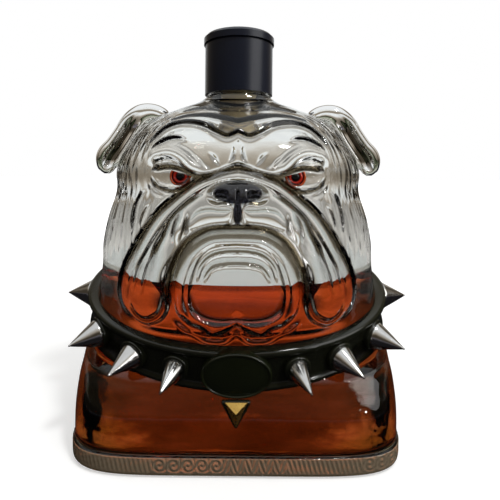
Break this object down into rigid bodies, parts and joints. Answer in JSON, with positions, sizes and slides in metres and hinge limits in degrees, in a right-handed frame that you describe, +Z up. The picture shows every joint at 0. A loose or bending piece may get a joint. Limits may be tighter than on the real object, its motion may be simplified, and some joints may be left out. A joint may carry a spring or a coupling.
{
  "type": "figural liquor decanter",
  "caption": "Clear glass decanter shaped as a bulldog's head and shoulders, holding amber spirit, with a spiked dark collar and a lift-out sealed stopper.",
  "frame": {"origin": "on the table, under the middle of the neck's bore", "axes": "+Z up along the neck, the face looks along -Y, +X is to the viewer's right"},
  "size_m": [0.1708, 0.13, 0.1831],
  "materials": {
    "clear_glass": "clear, polished, moulded",
    "liquor": "clear amber liquid",
    "iris_red": "gloss",
    "pupil_black": "gloss",
    "collar_black": "gloss",
    "spike_chrome": "polished, lightly worn",
    "plate_black": "satin, bare",
    "screw_steel": "plain",
    "setting_black": "gloss",
    "point_brass": "polished",
    "stopper_black": "satin gloss",
    "core_plastic": "matt",
    "seal_rubber": "soft"
  },
  "bodies": {
    "decanter": {"glass_body": "clear_glass", "liquor_fill": "liquor", "eye_iris_left": "iris_red", "eye_iris_right": "iris_red", "eye_pupil_left": "pupil_black", "eye_pupil_right": "pupil_black", "collar_band": "collar_black", "spikes_left": "spike_chrome", "spikes_right": "spike_chrome", "spike_back": "spike_chrome", "collar_plate": "plate_black", "plate_screws": "screw_steel", "pendant_setting": "setting_black", "pendant_point": "point_brass"},
    "stopper": {"stopper_sleeve": "stopper_black", "stopper_top_disc": "stopper_black", "stopper_core": "core_plastic", "stopper_screw": "screw_steel", "stopper_seal_1": "seal_rubber", "stopper_seal_2": "seal_rubber", "stopper_seal_3": "seal_rubber"}
  },
  "joints": [
    {"name": "stopper_lift", "type": "slide", "parent": "decanter", "child": "stopper", "axis": [0, 0, 1], "range_m": [0, 0.06]}
  ]
}
